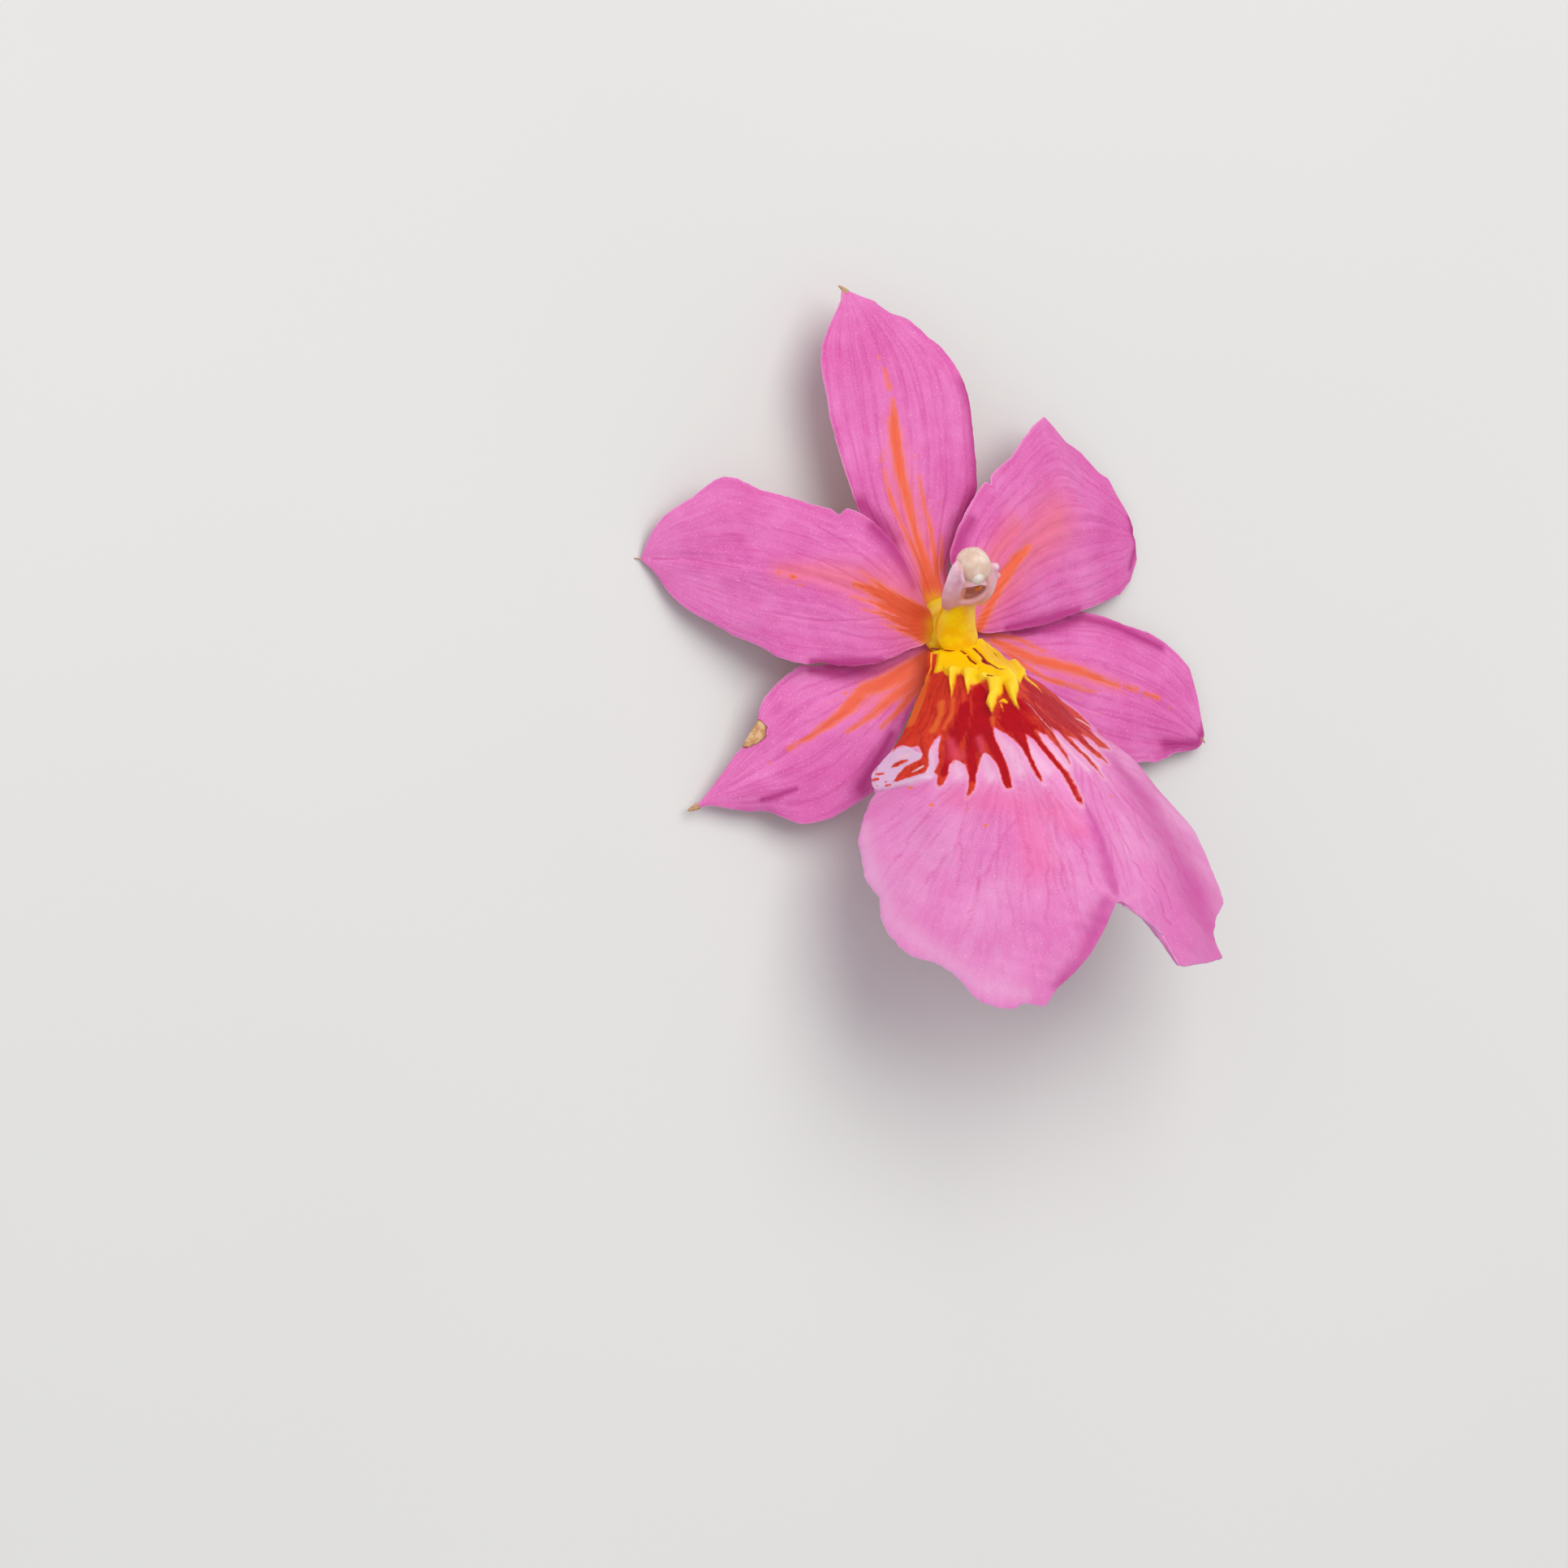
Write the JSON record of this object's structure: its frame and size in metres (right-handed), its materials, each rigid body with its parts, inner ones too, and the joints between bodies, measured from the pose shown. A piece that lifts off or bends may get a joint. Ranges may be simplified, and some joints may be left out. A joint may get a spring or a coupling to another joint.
{
  "type": "orchid flower",
  "caption": "Picked orchid flower lying face up: sepals and petals round a column, a broad notched lip with a red-marked yellow base, and a short cut stalk.",
  "frame": {"origin": "on the surface the flower lies on, under the middle of its bounding box", "axes": "+Z up out of the flower's face, +Y from the flower's middle along the upright (dorsal) sepal, +X to the right as one looks down on the face with +Y up"},
  "size_m": [0.0652, 0.0829, 0.0308],
  "materials": {
    "tepal_pink": "matte, faintly glistening petal tissue",
    "lip_pink": "matte, faintly glistening petal tissue",
    "column_pink": "waxy, satin",
    "anther_cream": "waxy, satin",
    "pollen_amber": "waxy, glossy",
    "stalk_green": "smooth, satin"
  },
  "bodies": {
    "root": {"dorsal_sepal": "tepal_pink", "lateral_sepal_left": "tepal_pink", "lateral_sepal_right": "tepal_pink", "petal_left": "tepal_pink", "petal_right": "tepal_pink", "lip": "lip_pink", "column": "column_pink", "anther_cap": "anther_cream", "pollinarium": "pollen_amber", "pedicel": "stalk_green"}
  },
  "joints": []
}
